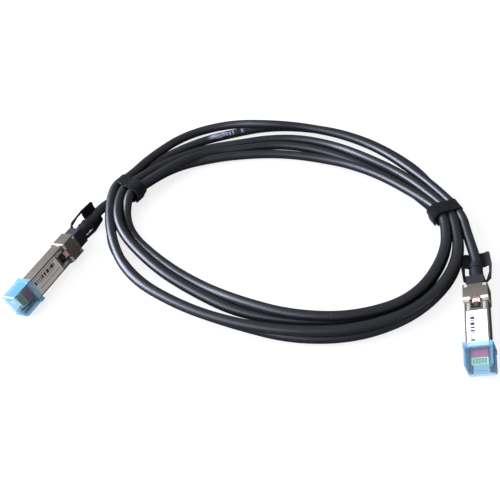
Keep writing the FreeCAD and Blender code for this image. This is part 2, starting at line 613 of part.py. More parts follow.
def tie_inner():
    """Width, foot and top of the room inside a tie."""
    gap, sheet = size("tie_gap"), size("tie_sheet")
    return size("bundle_width") + 2 * gap, sheet, size("bundle_height") + gap


def coil():
    """One closed solid of the outer shape of the coil: a flat ring, two strands high, waisted at the ties."""
    plan = Part.Face([coil_outline(OUTER_REACH), coil_outline(INNER_REACH)])
    plan.validate()
    ring = plan.extrude(V(0, 0, size("bundle_height")))
    wide, foot, top = tie_inner()
    gap = size("tie_gap")
    wastes = []
    for side in ("left", "right"):
        zone = Part.makeBox(size("tie_width") + 2 * gap, 4 * wide, 4 * top,
                            V(-size("tie_width") / 2 - gap, -2 * wide, -2 * top))
        core = band(size("tie_width") + 2 * gap, wide - 2 * gap, foot + gap, top - gap, size("tie_corner") - gap)
        waste = zone.cut(core)
        waste.Placement = tie_frame(side)
        wastes.append(waste)
    for waste in wastes:
        ring = ring.cut(waste)
    return plain("Coil", ring)


def tie(side):
    """Hook-and-loop strap round the bundle, with its free end lapped on the inner side."""
    wide, foot, top = tie_inner()
    sheet, corner = size("tie_sheet"), size("tie_corner")
    width = size("tie_width")
    strap = band(width, wide + 2 * sheet, foot - sheet, top + sheet, corner + sheet)
    strap = strap.cut(band(width, wide, foot, top, corner))
    lap = Part.makeBox(width, size("lap_sheet") + 0.5 * sheet, size("lap_length"),
                       V(-width / 2, wide / 2 + sheet / 2, (foot + top) / 2 - size("lap_length") / 2))
    made = plain("Tie" + side.capitalize(), strap.fuse(lap).removeSplitter())
    made.Placement = tie_frame(side)
    return made


# The free ends of the cable, from the plug to the coil; each list is chosen by hand in the coil's frame.
TAIL_A = [(-116.5, 6.5, 5.0)]
TAIL_B = [(125.0, -34.5, 5.2), (119.8, -20.5, 3.8)]


def tail(tag, points):
    """A tube of straight runs joined by tangent arcs, from inside the plug to the coil."""
    place = plug_place(tag)
    route = [place.multVec(V(size("cable_entry"), 0, size("cable_level"))),
             place.multVec(V(-size("boot_length") - size("straight_run_" + tag.lower()), 0, size("cable_level")))]
    route += [V(x - size("frame_x"), y - size("frame_y"), z) for x, y, z in points]
    edges, start, radii = [], route[0], []
    for before, corner, after in zip(route, route[1:], route[2:]):
        back, ahead = (before - corner).normalize(), (after - corner).normalize()
        turn = math.pi - back.getAngle(ahead)
        reach = 0.45 * min((corner - before).Length, (after - corner).Length)
        radius = reach / math.tan(turn / 2)
        radii.append(round(radius, 1))
        enter, leave = corner + back * reach, corner + ahead * reach
        middle = corner + (back + ahead).normalize() * (radius / math.cos(turn / 2) - radius)
        edges += [Part.LineSegment(start, enter).toShape(), Part.Arc(enter, middle, leave).toShape()]
        start = leave
    edges.append(Part.LineSegment(start, route[-1]).toShape())
    path = Part.Wire(edges)
    radius = size("cable_diameter") / 2
    ring = Part.Wire(Part.makeCircle(radius, route[0], route[1] - route[0]))
    tube = path.makePipeShell([ring], True, True)
    print("tail", tag, "arc radii", radii, "volume ratio",
          round(tube.Volume / (math.pi * radius ** 2 * path.Length), 4), "length", round(path.Length, 1))
    return plain("Tail" + tag, tube)


plug("A")
plug("B")
keep("cable_coil", coil())
keep("cable_tail_a", tail("A", TAIL_A))
keep("cable_tail_b", tail("B", TAIL_B))
keep("tie_left", tie("left"))
keep("tie_right", tie("right"))
doc.recompute()

for obj in doc.Objects:
    if "Invalid" in obj.State or "Error" in obj.State:
        raise RuntimeError("%s failed: %s" % (obj.Name, obj.State))
for node, piece in PIECES.items():
    if piece.Shape.isNull() or not piece.Shape.isValid() or not piece.Shape.Solids:
        raise RuntimeError("%s has no valid shape" % node)

os.makedirs("parts", exist_ok=True)
for node, piece in PIECES.items():
    piece.Shape.exportStep("parts/%s.step" % node)
print(len(PIECES), "pieces")
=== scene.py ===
import json
import math
import random

import bmesh
import bpy
from mathutils import Matrix, Vector
from mathutils.kdtree import KDTree


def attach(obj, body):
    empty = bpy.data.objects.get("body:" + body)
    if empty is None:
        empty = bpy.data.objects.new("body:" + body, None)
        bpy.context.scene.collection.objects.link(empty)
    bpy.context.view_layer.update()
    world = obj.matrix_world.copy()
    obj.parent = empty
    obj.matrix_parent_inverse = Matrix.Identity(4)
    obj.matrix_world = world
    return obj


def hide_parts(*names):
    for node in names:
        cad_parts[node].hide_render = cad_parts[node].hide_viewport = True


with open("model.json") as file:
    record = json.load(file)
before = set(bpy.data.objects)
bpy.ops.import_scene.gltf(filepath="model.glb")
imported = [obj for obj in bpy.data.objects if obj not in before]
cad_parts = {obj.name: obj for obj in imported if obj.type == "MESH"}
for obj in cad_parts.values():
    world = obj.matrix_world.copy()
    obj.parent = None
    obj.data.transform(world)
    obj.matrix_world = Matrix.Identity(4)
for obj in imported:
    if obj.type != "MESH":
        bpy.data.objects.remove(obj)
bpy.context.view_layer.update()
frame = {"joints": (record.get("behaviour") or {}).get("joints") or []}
mm = 0.001

# the coil was laid out about its own middle, and the part's frame starts elsewhere
layoutShift = Vector((16.557, 57.279, 0)) * mm


def hexColor(code):
    # an sRGB hex value as linear red, green, blue and alpha
    channels = [int(code[i:i + 2], 16) / 255 for i in (1, 3, 5)]
    return [c / 12.92 if c <= 0.04045 else ((c + 0.055) / 1.055) ** 2.4 for c in channels] + [1.0]


def addNode(tree, kind, settings=None, links=None):
    # settings name either a property of the node or an input; links join an input to another node's output
    node = tree.nodes.new(kind)
    for key, value in (settings or {}).items():
        if isinstance(key, str) and hasattr(node, key):
            setattr(node, key, value)
        else:
            node.inputs[key].default_value = value
    for key, source in (links or {}).items():
        tree.links.new(source, node.inputs[key])
    return node


def calc(tree, operation, first, second=None, **settings):
    # a Math node, of numbers or of other nodes' outputs
    node = addNode(tree, "ShaderNodeMath", {"operation": operation, **settings})
    for place, value in enumerate((first, second)):
        if isinstance(value, bpy.types.NodeSocket):
            tree.links.new(value, node.inputs[place])
        elif value is not None:
            node.inputs[place].default_value = value
    return node.outputs[0]


def remap(tree, value, start, end, low=0.0, high=1.0):
    # the value's stretch from start to end drawn out to low and high, and held there beyond it
    return addNode(tree, "ShaderNodeMapRange", {
        "From Min": start, "From Max": end, "To Min": low, "To Max": high}, {"Value": value}).outputs[0]


def mixColors(tree, share, *colors):
    # from the first colour to the second, each a hex value or another node's output
    node = addNode(tree, "ShaderNodeMix", {"data_type": "RGBA"}, {0: share})
    for socket, color in zip((node.inputs[6], node.inputs[7]), colors):
        if isinstance(color, str):
            socket.default_value = hexColor(color)
        else:
            tree.links.new(color, socket)
    return node.outputs[2]


def plugSpot(tree):
    # how far along, across and above its plug a point is, in millimetres
    spot = addNode(tree, "ShaderNodeAttribute", {"attribute_name": "spot"})
    return addNode(tree, "ShaderNodeSeparateXYZ", {}, {0: spot.outputs["Vector"]}).outputs


def newMaterial(name, settings):
    material = bpy.data.materials.new(name)
    material.use_nodes = True
    tree = material.node_tree
    shader = next(n for n in tree.nodes if n.type == "BSDF_PRINCIPLED")
    for key, value in settings.items():
        shader.inputs[key].default_value = value
    return material, tree, shader


def addGrain(tree, shader, grain):
    # uneven gloss and a fine relief, whose "size" and "relief" are the grain's width and height in millimetres;
    # gives the coordinates that it is drawn on
    place = addNode(tree, "ShaderNodeTexCoord")
    scaled = addNode(tree, "ShaderNodeVectorMath", {"operation": "SCALE", "Scale": 1 / (grain["size"] * mm)},
                     {0: place.outputs["Object"]}).outputs[0]
    noise = addNode(tree, "ShaderNodeTexNoise", {"Scale": 1.0, "Detail": 3.0}, {"Vector": scaled}).outputs[0]
    tree.links.new(remap(tree, noise, 0.3, 0.7, *grain["gloss"]), shader.inputs["Roughness"])
    if grain["relief"]:
        bump = addNode(tree, "ShaderNodeBump", {"Strength": 0.6, "Distance": grain["relief"] * mm},
                       {"Height": noise})
        tree.links.new(bump.outputs[0], shader.inputs["Normal"])
    return scaled


def layoutPoint(x, y, z):
    return Vector((x, y, z)) * mm + layoutShift


# where the latch's pivot is on a plug, in millimetres
pivotPlace = {"along": 9.6, "above": 7.3}


def plugFrame(tag):
    # the plug's own frame in millimetres, from its joints: x to the nose, y to the left, z to the label
    joints = {joint["name"]: joint for joint in frame["joints"]}
    ahead = Vector(joints["cap_pull_" + tag]["axis"]).normalized()
    left = Vector(joints["rocker_tilt_" + tag]["axis"]).normalized()
    up = ahead.cross(left)
    pivot = Vector(joints["rocker_tilt_" + tag]["pos_m"])
    start = pivot - ahead * pivotPlace["along"] * mm - up * pivotPlace["above"] * mm
    turn = Matrix((ahead, left, up)).transposed().to_4x4()
    return Matrix.Translation(start) @ turn @ Matrix.Scale(mm, 4)


plugs = {"a": plugFrame("a"), "b": plugFrame("b")}
print("stage: frame loaded")

# cable: one length of twinaxial cable in a black extruded jacket
cableSizes = {
    "diameter": 6.5,
    "length": 2.93,            # metres, plug to plug
    "level": 3.9,              # height of the cable's middle in a plug
    "tieHalf": 9.0,            # half the straight stretch of the bundle at a tie
    # the way out of plug a and into plug b: along the plug, to its left and below the cable's level
    "outOfA": [(1.5, 0.0, 0.0), (-12.0, 0.0, 0.0), (-24.0, 0.0, 0.0), (-33.0, 0.1, 0.0), (-42.0, 2.3, 0.6)],
    "intoB": [(-24.0, 0.0, 0.0), (-12.0, 0.0, 0.0), (1.5, 0.0, 0.0)],
    "beforeB": (124.3, -32.5, 9.2),              # on the layout, between the right tie and plug b
}
coilSizes = {
    "stations": 8,             # on each half, at every 20 degrees from the right tie
    "step": 20.0,
    "start": -6.0,
}
# each half turn in the order of the cable: how far from the coil's middle it runs and how high it lies at its
# stations, in millimetres; the backs run clockwise from the left tie, the fronts go on from the right tie
halfTurns = [
    {"reach": [99.3, 89.4, 83.6, 84.0, 86.9, 92.9, 100.8, 110.6],
     "height": [3.5, 3.5, 3.5, 3.5, 3.5, 3.5, 3.5, 3.6]},
    {"reach": [126.3, 122.9, 116.6, 109.3, 103.8, 106.1, 113.4, 117.2],
     "height": [3.5, 3.5, 3.5, 3.5, 3.5, 3.5, 3.5, 3.5]},
    {"reach": [84.0, 66.4, 56.6, 52.9, 53.4, 58.0, 67.1, 82.0],
     "height": [3.5, 3.5, 3.5, 3.5, 3.5, 3.8, 5.8, 8.4]},
    {"reach": [115.9, 114.5, 106.1, 96.9, 89.2, 87.4, 93.3, 104.2],
     "height": [9.5, 9.7, 9.7, 9.6, 6.9, 3.6, 3.8, 4.2]},
    {"reach": [81.2, 72.9, 64.2, 62.7, 63.5, 66.7, 74.5, 90.5],
     "height": [9.5, 4.5, 3.5, 3.5, 3.5, 3.5, 3.5, 3.5]},
    {"reach": [117.2, 114.8, 105.8, 97.6, 94.6, 94.0, 100.2, 110.2],
     "height": [3.5, 3.5, 3.5, 3.5, 3.5, 4.3, 6.6, 9.5]},
    {"reach": [90.1, 79.6, 70.9, 70.0, 72.2, 74.6, 78.8, 93.6],
     "height": [6.6, 3.6, 3.5, 3.5, 3.7, 5.2, 8.5, 9.4]},
    {"reach": [124.3, 122.4, 115.2, 108.6, 106.5, 109.4, 116.0, 116.7],
     "height": [9.6, 9.6, 9.6, 9.7, 9.5, 9.2, 9.5, 9.8]},
    {"reach": [104.0, 101.0, 92.3, 81.2, 82.3, 87.0, 93.9, 103.7],
     "height": [6.6, 3.9, 5.6, 9.4, 7.8, 7.4, 8.0, 9.3]},
]
ties = {
    "left": {"angle": 174.0, "radius": 106.0, "turn": -27.0},
    "right": {"angle": -6.0, "radius": 114.5, "turn": 27.0},
}
# place of each strand of the bundle across a tie (inner side first) and above the table
lanes = {
    "topInner": (6.75, 10.0), "topMiddle": (0.0, 10.0), "topOuter": (-6.75, 10.0),
    "lowInner": (3.45, 4.5), "lowOuter": (-3.45, 4.5),
}
leftLanes = ["lowOuter", "lowInner", "topInner", "topMiddle", "topOuter"]
rightLanes = ["lowOuter", "topInner", "lowInner", "topMiddle", "topOuter"]


def tieFrame(side):
    # x along the bundle, y to the middle of the coil, z up, in layout millimetres
    tie = ties[side]
    angle = math.radians(tie["angle"])
    spot = Vector((tie["radius"] * math.cos(angle), tie["radius"] * math.sin(angle), 0))
    return Matrix.Translation(spot) @ Matrix.Rotation(angle + math.radians(90 + tie["turn"]), 4, "Z")


def tieCrossing(side, lane):
    # the two ends of a strand's straight stretch at a tie, in the order of the cable
    along = cableSizes["tieHalf"]
    ends = (along, -along)
    across, height = lanes[lane]
    return [tieFrame(side) @ Vector((end, across, height)) for end in ends]


def halfTurn(index):
    strand = halfTurns[index]
    skipped = coilSizes["stations"] if index % 2 == 0 else -1
    first = coilSizes["start"] + coilSizes["step"] * skipped
    points = []
    for k, (reach, height) in enumerate(zip(strand["reach"], strand["height"])):
        angle = math.radians(first - coilSizes["step"] * k)
        points.append(Vector((reach * math.cos(angle), reach * math.sin(angle), height)))
    return points


def coilPoints():
    # four and a half turns, clockwise: over or under the others at the left tie, round the back, through the
    # right tie and back along the front
    points = []
    for index in range(len(halfTurns)):
        side, order = ("left", leftLanes) if index % 2 == 0 else ("right", rightLanes)
        points += tieCrossing(side, order[index // 2]) + halfTurn(index)
    return points + tieCrossing("right", rightLanes[-1])


def pulledOut(points, rounds=12):
    # control points of a quadratic spline that passes through the given points and doesn't cut their corners
    controls = [point.copy() for point in points]
    for step in range(rounds):
        triples = zip(controls, controls[1:], controls[2:])
        seen = [(before + here * 6 + after) / 8 for before, here, after in triples]
        for k, place in enumerate(seen, start=1):
            controls[k] += points[k] - place
    return controls


def onPlug(tag, along, left, drop):
    return plugs[tag] @ Vector((along, left, cableSizes["level"] - drop))


def cableRoute():
    # from inside plug a to inside plug b, in metres
    start = [onPlug("a", *place) for place in cableSizes["outOfA"]]
    coil = [layoutPoint(*point) for point in coilPoints()]
    end = [layoutPoint(*cableSizes["beforeB"])] + [onPlug("b", *place) for place in cableSizes["intoB"]]
    return pulledOut(start + coil + end)


def makeCable():
    curve = bpy.data.curves.new("cable", "CURVE")
    curve.dimensions = "3D"
    curve.bevel_depth = cableSizes["diameter"] / 2 * mm
    curve.bevel_resolution = 10
    curve.resolution_u = 10
    curve.use_fill_caps = True
    spline = curve.splines.new("NURBS")
    spline.points.add(len(route) - 1)
    for point, place in zip(spline.points, route):
        point.co = (*place, 1.0)
    spline.order_u = 3
    spline.use_endpoint_u = True
    cable = bpy.data.objects.new("cable", curve)
    bpy.context.scene.collection.objects.link(cable)
    return cable


jacketLooks = {
    "color": "#131418",
    "lint": "#8d9098",
    "grain": {"size": 5.0, "gloss": (0.37, 0.42), "relief": 0.0},
    "lintCells": 0.8,          # places for a speck, to the width of the grain
    "lintRadius": 0.035,       # of a speck, as a share of its place
    "lintShare": 0.16,         # of the places that have one
}


def pvcJacket():
    # black PVC drawn over the pairs: satin, with one sharp highlight along it and a few pale specks of lint
    material, tree, shader = newMaterial("extrudedPvcJacket", {
        "Base Color": hexColor(jacketLooks["color"]), "Specular IOR Level": 0.9})
    scaled = addGrain(tree, shader, jacketLooks["grain"])
    cells = addNode(tree, "ShaderNodeTexVoronoi", {"Scale": jacketLooks["lintCells"]}, {"Vector": scaled})
    chosen = addNode(tree, "ShaderNodeSeparateColor", {}, {0: cells.outputs["Color"]})
    speck = calc(tree, "LESS_THAN", cells.outputs["Distance"], jacketLooks["lintRadius"])
    few = calc(tree, "LESS_THAN", chosen.outputs[0], jacketLooks["lintShare"])
    lint = calc(tree, "MULTIPLY", speck, few)
    color = mixColors(tree, lint, jacketLooks["color"], jacketLooks["lint"])
    tree.links.new(color, shader.inputs["Base Color"])
    return material


route = cableRoute()
cable = makeCable()
cable.data.materials.append(pvcJacket())
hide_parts("cable_coil", "cable_tail_a", "cable_tail_b")
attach(cable, "root")
print("stage: cable laid")


def finishPiece(name, shape, body, material, nodes=(), sharp=32.0):
    # turns a bmesh in metres into a piece of the model, smooth up to the sharp angle
    for face in shape.faces:
        face.smooth = True
    for edge in shape.edges:
        edge.smooth = len(edge.link_faces) == 2 and edge.calc_face_angle(0.0) < math.radians(sharp)
    mesh = bpy.data.meshes.new(name)
    shape.to_mesh(mesh)
    shape.free()
    mesh.materials.append(material)
    made = bpy.data.objects.new(name, mesh)
    bpy.context.scene.collection.objects.link(made)
    if nodes:
        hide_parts(*nodes)
    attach(made, body)
    return made


def noteSpots(made, tag):
    # keeps each point's place on the plug, in millimetres, for prints and colour zones
    local = plugs[tag].inverted()
    spots = made.data.attributes.new("spot", "FLOAT_VECTOR", "POINT")
    for point, held in zip(made.data.vertices, spots.data):
        held.vector = local @ point.co


skinSizes = {
    "merge": 0.002,            # millimetres within which corners are joined
    "flat": 0.5,               # degrees within which neighbouring faces are one flat
    "corner": 35.0,            # degrees above which an edge is rounded
    "segments": 2,
}


def mergedShape(node):
    # the node's loose triangles joined into one closed skin with whole flat faces
    source = bpy.data.objects[node]
    shape = bmesh.new()
    shape.from_mesh(source.data)
    bmesh.ops.transform(shape, matrix=source.matrix_world, verts=shape.verts)
    bmesh.ops.remove_doubles(shape, verts=shape.verts, dist=skinSizes["merge"] * mm)
    bmesh.ops.dissolve_limit(shape, angle_limit=math.radians(skinSizes["flat"]), verts=shape.verts,
                             edges=shape.edges)
    bmesh.ops.recalc_face_normals(shape, faces=shape.faces)
    return shape


def roundEdges(shape, width):
    sharp = [edge for edge in shape.edges
             if len(edge.link_faces) == 2 and edge.calc_face_angle(0.0) > math.radians(skinSizes["corner"])]
    bevelled = bmesh.ops.bevel(shape, geom=sharp, offset=width * mm, offset_type="OFFSET",
                               segments=skinSizes["segments"], profile=0.5, affect="EDGES", material=-1,
                               clamp_overlap=True)
    # "rim" is 1 along the middle of each rounded edge and 0 on the flats
    rim = shape.verts.layers.float.new("rim")
    rounded = set(bevelled["faces"])
    for vert in shape.verts:
        vert[rim] = 1.0 if vert.link_faces and all(face in rounded for face in vert.link_faces) else 0.0


def roundedPiece(node, body, material, width):
    shape = mergedShape(node)
    roundEdges(shape, width)
    made = finishPiece(node + "Rounded", shape, body, material, nodes=(node,))
    flat = made.modifiers.new("evenNormals", "WEIGHTED_NORMAL")
    flat.keep_sharp = True
    return made


castingLooks = {
    "color": "#857b6f",
    # painted highlight colour for the notch corners and the collar step
    "paintedHighlight": "#fbf9f6",
    "grain": {"size": 0.6, "gloss": (0.24, 0.40), "relief": 0.008},
    # the painted highlights on the rear notches' corners and on the step at the collar, in millimetres on the
    # plug
    "notch": {"end": 2.0, "foot": 8.3, "across": 5.5, "half": 0.95},
    "step": {"along": 10.1, "half": 0.7, "inner": 3.2},
}


def nickelCasting():
    # zinc casting under nickel: light grey with a warm cast, faintly pebbled, dull enough to blur what it
    # mirrors; the rear notches' corners and the step at the collar carry a painted highlight, painted
    # near-white
    material, tree, shader = newMaterial("nickelPlatedCasting", {"Metallic": 0.82})
    addGrain(tree, shader, castingLooks["grain"])
    notch, step = castingLooks["notch"], castingLooks["step"]
    along, across, above = plugSpot(tree)
    side = calc(tree, "ABSOLUTE", across)
    rear = calc(tree, "LESS_THAN", along, notch["end"])
    high = calc(tree, "GREATER_THAN", above, notch["foot"])
    off = calc(tree, "ABSOLUTE", calc(tree, "SUBTRACT", side, notch["across"]))
    near = calc(tree, "LESS_THAN", off, notch["half"])
    corner = calc(tree, "MULTIPLY", calc(tree, "MULTIPLY", rear, high), near)
    away = calc(tree, "ABSOLUTE", calc(tree, "SUBTRACT", along, step["along"]))
    close = calc(tree, "LESS_THAN", away, step["half"])
    outer = calc(tree, "GREATER_THAN", side, step["inner"])
    # painted highlight: the notch corners and the collar step are painted near-white
    paintedHighlightZone = calc(tree, "MAXIMUM", corner, calc(tree, "MULTIPLY", close, outer))
    color = mixColors(tree, paintedHighlightZone, castingLooks["color"], castingLooks["paintedHighlight"])
    tree.links.new(color, shader.inputs["Base Color"])
    return material


def stampedSteel():
    # bright stamped steel sheet, smoother than the casting
    material, tree, shader = newMaterial("stampedSteel", {"Base Color": hexColor("#d6d2ca"), "Metallic": 0.7})
    addGrain(tree, shader, {"size": 0.3, "gloss": (0.16, 0.30), "relief": 0.006})
    return material


def latchFlash(postStart=12.7):
    # the latch sheet has a rosy flash that shows pale pink in the window; its post ahead of it is painted dark,
    # a painted shade for the shadow in the window
    material, tree, shader = newMaterial("flashedLatchSheet", {"Metallic": 0.35})
    addGrain(tree, shader, {"size": 0.4, "gloss": (0.20, 0.34), "relief": 0.012})
    # painted shade: the sheet is painted dark from the post's start onward
    shadedPost = calc(tree, "GREATER_THAN", plugSpot(tree)[0], postStart)
    tree.links.new(mixColors(tree, shadedPost, "#eab9ae", "#2b2521"), shader.inputs["Base Color"])
    return material


def blackMoulding():
    # black moulded rubber-like plastic with a fine spark-eroded texture
    material, tree, shader = newMaterial("texturedBlackMoulding", {
        "Base Color": hexColor("#1a1a1d"), "Specular IOR Level": 0.45})
    addGrain(tree, shader, {"size": 0.35, "gloss": (0.38, 0.52), "relief": 0.02})
    return material


def labelFilm(name, code):
    # printed film with a slight sheen; the wires' foamed sleeves take it too
    material, tree, shader = newMaterial(name, {"Base Color": hexColor(code)})
    addGrain(tree, shader, {"size": 1.5, "gloss": (0.34, 0.46), "relief": 0.004})
    return material


def printInk(name, code):
    # flat ink on the film
    return newMaterial(name, {"Base Color": hexColor(code), "Roughness": 0.6})[0]


def solderMask(zone=(48.9, 49.5)):
    # circuit board: maroon next to the shell, pale green at the contacts, changing over in the zone along it
    material, tree, shader = newMaterial("maskedCircuitBoard", {"Roughness": 0.35})
    share = remap(tree, plugSpot(tree)[0], *zone)
    tree.links.new(mixColors(tree, share, "#b83644", "#c3e4a2"), shader.inputs["Base Color"])
    return material


def goldFlash():
    # thin gold over nickel on the contact pads
    material, tree, shader = newMaterial("goldFlashedPads", {
        "Base Color": hexColor("#d9b56a"), "Metallic": 1.0})
    addGrain(tree, shader, {"size": 0.2, "gloss": (0.2, 0.35), "relief": 0.002})
    return material


capLooks = {
    "clear": "#e9f5fc",
    "body": "#98b9cd",
    "walls": "#5f8fb3",
    # painted highlight colour along the rounded edges
    "paintedEdgeHighlight": "#cfe6f4",
    "wallPlace": (6.7, 7.6),   # across the plug, where the side walls turn bluer
    "wallShare": 0.5,          # how far the walls, the rim and the rounded edges hide what is behind them
    "rimPlace": (44.9, 44.5),  # along the plug, where the thick rim begins
    "rimShare": 0.22,
    # how far the painted highlight along the rounded edges hides what is behind them
    "edgeShare": 0.5,
    "facing": (0.04, 0.40),    # the same for a face seen straight on and for one seen edge-on
}


def blueCap():
    # clear blue soft PVC: nearly clear through its flat top, bluer in the thick rim and the side walls that
    # are seen edge-on, with a painted highlight along the rounded edges, painted pale and less clear there
    material, tree, shader = newMaterial("clearBlueVinyl", {"Roughness": 0.12, "Specular IOR Level": 0.9})
    along, across = plugSpot(tree)[:2]
    wall = capLooks["wallShare"]
    side = remap(tree, calc(tree, "ABSOLUTE", across), *capLooks["wallPlace"], 0.0, wall)
    rim = remap(tree, along, *capLooks["rimPlace"], 0.0, capLooks["rimShare"])
    edge = addNode(tree, "ShaderNodeLayerWeight", {"Blend": 0.3})
    facing = remap(tree, edge.outputs["Facing"], 0.0, 0.9, *capLooks["facing"])
    rounded = addNode(tree, "ShaderNodeAttribute", {"attribute_name": "rim"}).outputs["Fac"]
    # painted highlight: the rounded edges are painted paler and made less clear
    paintedEdgeHighlight = calc(tree, "MULTIPLY", rounded, capLooks["edgeShare"])
    deep = calc(tree, "ADD", calc(tree, "ADD", side, rim), facing)
    share = calc(tree, "ADD", deep, paintedEdgeHighlight, use_clamp=True)
    body = mixColors(tree, remap(tree, side, 0.0, wall), capLooks["body"], capLooks["walls"])
    tree.links.new(mixColors(tree, rounded, body, capLooks["paintedEdgeHighlight"]), shader.inputs["Base Color"])
    through = addNode(tree, "ShaderNodeBsdfTransparent", {"Color": hexColor(capLooks["clear"])})
    mixed = addNode(tree, "ShaderNodeMixShader", {}, {
        0: share, 1: through.outputs[0], 2: shader.outputs[0]})
    output = next(n for n in tree.nodes if n.type == "OUTPUT_MATERIAL")
    tree.links.new(mixed.outputs[0], output.inputs["Surface"])
    return material


casting, sheetSteel, latchSheet = nickelCasting(), stampedSteel(), latchFlash()
moulding, vinyl = blackMoulding(), blueCap()
# the label on plug a is painted greyer than plug b's, a painted shade because it faces away from the window
# lamp
films = {"a": labelFilm("shadedLabelFilm", "#b9b0a6"), "b": labelFilm("whiteLabelFilm", "#ecebea")}
sleeve = labelFilm("foamedSleeve", "#e4e2dc")
mask, gold = solderMask(), goldFlash()
inks = {"dark": printInk("blackLabelInk", "#2c2433"), "faint": printInk("greyLabelInk", "#786f7a")}

# plug: the rounded pieces, their bodies and the radius of their edges in millimetres; the label has a film
# for each plug, and the pieces inside only get their material
plugPieces = {
    "shell_lower": {"body": "root", "slot": "cast_shell", "material": casting, "edge": 0.25},
    "shell_upper": {"body": "root", "slot": "cast_shell", "material": casting, "edge": 0.16},
    "latch_rocker": {"body": "rocker", "slot": "latch_steel", "material": latchSheet, "edge": 0.08},
    "ground_fingers": {"body": "root", "slot": "latch_steel", "material": sheetSteel, "edge": 0.06},
    "pull_tab": {"body": "tab", "slot": "black_moulding", "material": moulding, "edge": 0.38},
    "boot": {"body": "root", "slot": "black_moulding", "material": moulding, "edge": 0.18},
    "label": {"body": "root", "slot": "label_paper", "material": films, "edge": 0.04},
    "dust_cap": {"body": "cap", "slot": "blue_cap", "material": vinyl, "edge": 0.42},
    "board": {"body": "root", "slot": "board_green", "material": mask, "edge": 0.05},
}
hiddenPieces = {
    "pivot_pin": sheetSteel, "latch_leaf": sheetSteel, "slider": sheetSteel, "ferrule": sheetSteel,
    "edge_contacts": gold, "wire_pairs": sleeve, "solder_block": moulding,
}


def bodyOf(kind, tag):
    return kind if kind == "root" else kind + "_" + tag


for tag in plugs:
    for name, piece in plugPieces.items():
        material = piece["material"][tag] if name == "label" else piece["material"]
        made = roundedPiece(name + "_" + tag, bodyOf(piece["body"], tag), material,
                            piece["edge"])
        noteSpots(made, tag)
    for name, material in hiddenPieces.items():
        node = bpy.data.objects[name + "_" + tag]
        node.data.materials.clear()
        node.data.materials.append(material)
print("stage: plugs rounded")

# label print: plain bars only, in millimetres along and across the label
labelPrint = {
    "level": 8.625, "depth": 0.012,
    "seed": 7,
    "rows": [
        {"ink": "dark", "across": -5.3, "width": 1.1, "from": 20.4, "to": 42.0, "bars": [0.4],
         "gaps": [0.55]},
        {"ink": "dark", "across": -3.7, "width": 2.5, "from": 22.0, "to": 39.0, "bars": [0.7, 1.4, 2.2],
         "gaps": [0.45, 0.8]},
        {"ink": "faint", "across": -0.6, "width": 1.0, "from": 23.0, "to": 36.5, "bars": [0.35, 0.6],
         "gaps": [0.3, 0.35]},
        {"ink": "faint", "across": 1.9, "width": 1.2, "from": 20.8, "to": 38.5, "bars": [0.4, 0.65],
         "gaps": [0.3, 0.4, 0.7]},
    ],
}


def addBar(shape, tag, x0, x1, y0, y1):
    low, high = labelPrint["level"], labelPrint["level"] + labelPrint["depth"]
    middle = Vector(((x0 + x1) / 2, (y0 + y1) / 2, (low + high) / 2))
    size = Matrix.Diagonal((x1 - x0, y1 - y0, high - low, 1))
    bmesh.ops.create_cube(shape, size=1.0, matrix=plugs[tag] @ Matrix.Translation(middle) @ size)


def printLabel(tag, chance):
    shapes = {"dark": bmesh.new(), "faint": bmesh.new()}
    for row in labelPrint["rows"]:
        along = row["from"]
        while along < row["to"]:
            thick = chance.choice(row["bars"])
            addBar(shapes[row["ink"]], tag, along, along + thick, row["across"],
                   row["across"] + row["width"])
            along += thick + chance.choice(row["gaps"])
    for ink, shape in shapes.items():
        finishPiece(ink + "Print_" + tag, shape, "root", inks[ink])


for tag in plugs:
    printLabel(tag, random.Random(labelPrint["seed"]))
print("stage: labels printed")

# ties: a strap round the five strands whose free end laps over itself down the inner side, with a fuzzy face
tieSizes = {
    "strand": 3.3,             # radius that the strap goes round, a little more than the strand
    "sheet": 1.0,
    "width": 8.8,
    "lapStart": 0.5,           # the second layer starts this share of the way along the top
    "lapEnd": 2.2,             # height at which the free end stops
    "top": 10.0,               # the strap's top is above this height and within this distance of its middle
    "topHalf": 6.7,
    "lapRise": (0.2, 3),       # the second layer starts 0.2 of a station up and is on the first by the third
    "lapInset": 0.15,
    "tipLifts": (0.7, 0.45, 0.2),                # how far the free end stands off, from its tip back
    "tipWidths": (0.74, 0.92),                   # shares of the width there
    "fray": 0.14,
    "seam": 1.06,              # how much thicker the strap is a quarter of the way in from its edges
    "lowest": 0.02,            # keeps it above the table
    "fibres": 3000,
    "fibre": (0.4, 0.95),      # length of a fibre of the pile
    "fibreWidth": 0.05,
    "edgeFibres": 0.4,         # share of the fibres that stand on the strap's edges
    "fibreLowest": 0.1,
    "stitch": {"inset": 0.4, "lift": 0.05, "lowest": 7.5, "missing": 0.25, "jitter": 0.08, "width": 0.2,
               "length": (0.4, 0.75), "height": 0.14, "round": 0.04},
    "seeds": {"left": 3, "right": 4},
}
# the middles that the strap goes round, across the bundle and above the table
tieCentres = [(6.75, 10.0), (-6.75, 10.0), (-3.45, 4.55), (3.45, 4.55)]


def roundTheBundle(reach, pitch=1.3, steps=7):
    # the closed line at the given distance round the bundle's strands: (across, up, outward direction)
    corners = []
    count = len(tieCentres)
    for k, centre in enumerate(tieCentres):
        before, after = tieCentres[k - 1], tieCentres[(k + 1) % count]
        first, last = [math.atan2(end[1] - start[1], end[0] - start[0]) - math.pi / 2
                       for start, end in ((before, centre), (centre, after))]
        while last < first:
            last += 2 * math.pi
        for step in range(steps + 1):
            angle = first + (last - first) * step / steps
            corners.append((centre[0] + reach * math.cos(angle), centre[1] + reach * math.sin(angle), angle))
    line = []
    for start, end in zip(corners, corners[1:] + corners[:1]):
        pieces = max(1, round(math.dist(start[:2], end[:2]) / pitch))
        for k in range(pieces):
            share = k / pieces
            across, up = [start[axis] + (end[axis] - start[axis]) * share for axis in (0, 1)]
            line.append((across, up, start[2]))
    return line


